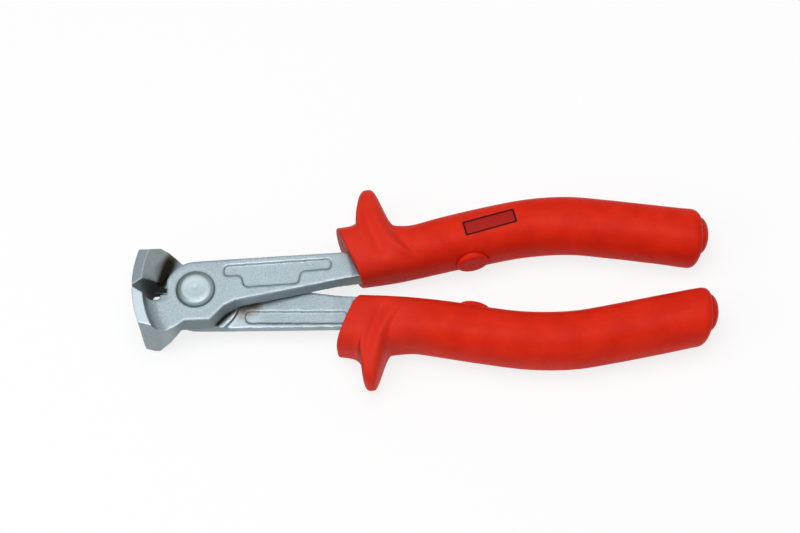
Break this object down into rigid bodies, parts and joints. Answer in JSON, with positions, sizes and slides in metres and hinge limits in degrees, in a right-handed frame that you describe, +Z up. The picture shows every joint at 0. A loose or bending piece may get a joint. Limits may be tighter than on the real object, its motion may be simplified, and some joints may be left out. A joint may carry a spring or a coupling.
{
  "type": "end cutting nippers",
  "caption": "End cutting nippers: forged halves crossing in a lap joint on a rivet, wide front-facing cutting jaws, and red insulating handle sleeves with finger guards.",
  "frame": {"origin": "middle of the tool's box, on the surface that it lies on", "axes": "+X from the jaws to the butts of the handles, +Y to the upper handle, +Z up along the rivet"},
  "size_m": [0.1624, 0.061, 0.0186],
  "materials": {
    "forged_steel": "fine-blasted, satin chrome plate on a drop forging",
    "rivet_steel": "turned and satin plated",
    "red_sleeve": "soft moulded PVC with a low sheen",
    "red_plug": "soft moulded PVC with a low sheen"
  },
  "bodies": {
    "lower_lever": {"lower_half": "forged_steel", "lower_grip": "red_sleeve", "lower_side_plug": "red_plug", "lower_end_plug": "red_plug"},
    "upper_lever": {"upper_half": "forged_steel", "pivot_rivet": "rivet_steel", "upper_grip": "red_sleeve", "upper_side_plug": "red_plug", "upper_end_plug": "red_plug"}
  },
  "joints": [
    {"name": "pivot", "type": "hinge", "parent": "lower_lever", "child": "upper_lever", "pos_m": [-0.06384, 0, 0.0093], "axis": [0, 0, 1], "range_deg": [0, 30]}
  ]
}
